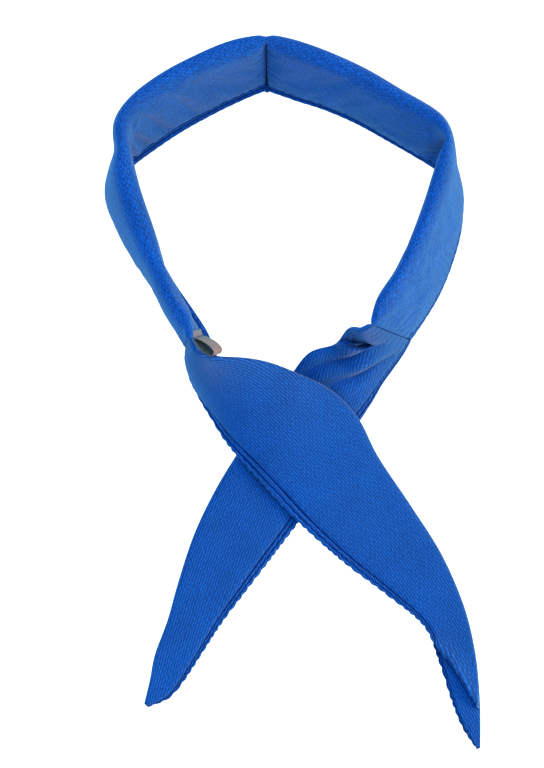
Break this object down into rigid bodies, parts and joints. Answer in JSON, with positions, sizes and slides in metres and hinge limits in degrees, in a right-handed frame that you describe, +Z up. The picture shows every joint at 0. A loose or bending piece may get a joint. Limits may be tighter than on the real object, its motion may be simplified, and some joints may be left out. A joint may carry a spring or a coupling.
{
  "type": "cooling neck wrap",
  "caption": "Padded knitted neck band with a flat pointed tie tail on each end, laid on a table with the tails crossed and a blank tape label at the seam.",
  "frame": {"origin": "centre of the underside of the bounding box, on the table that the wrap lies on", "axes": "+X to the right in the picture, +Y from the tails' tips towards the centre back of the band, +Z up from the table"},
  "size_m": [0.1724, 0.3269, 0.052],
  "materials": {
    "knit": "blue polyester knit with a soft sheen",
    "tape": "matte woven tape, left blank"
  },
  "bodies": {
    "root": {"band_left": "knit", "band_right": "knit", "tail_over": "knit", "tail_under": "knit", "label_loop": "tape", "label_flap": "tape"}
  },
  "joints": []
}
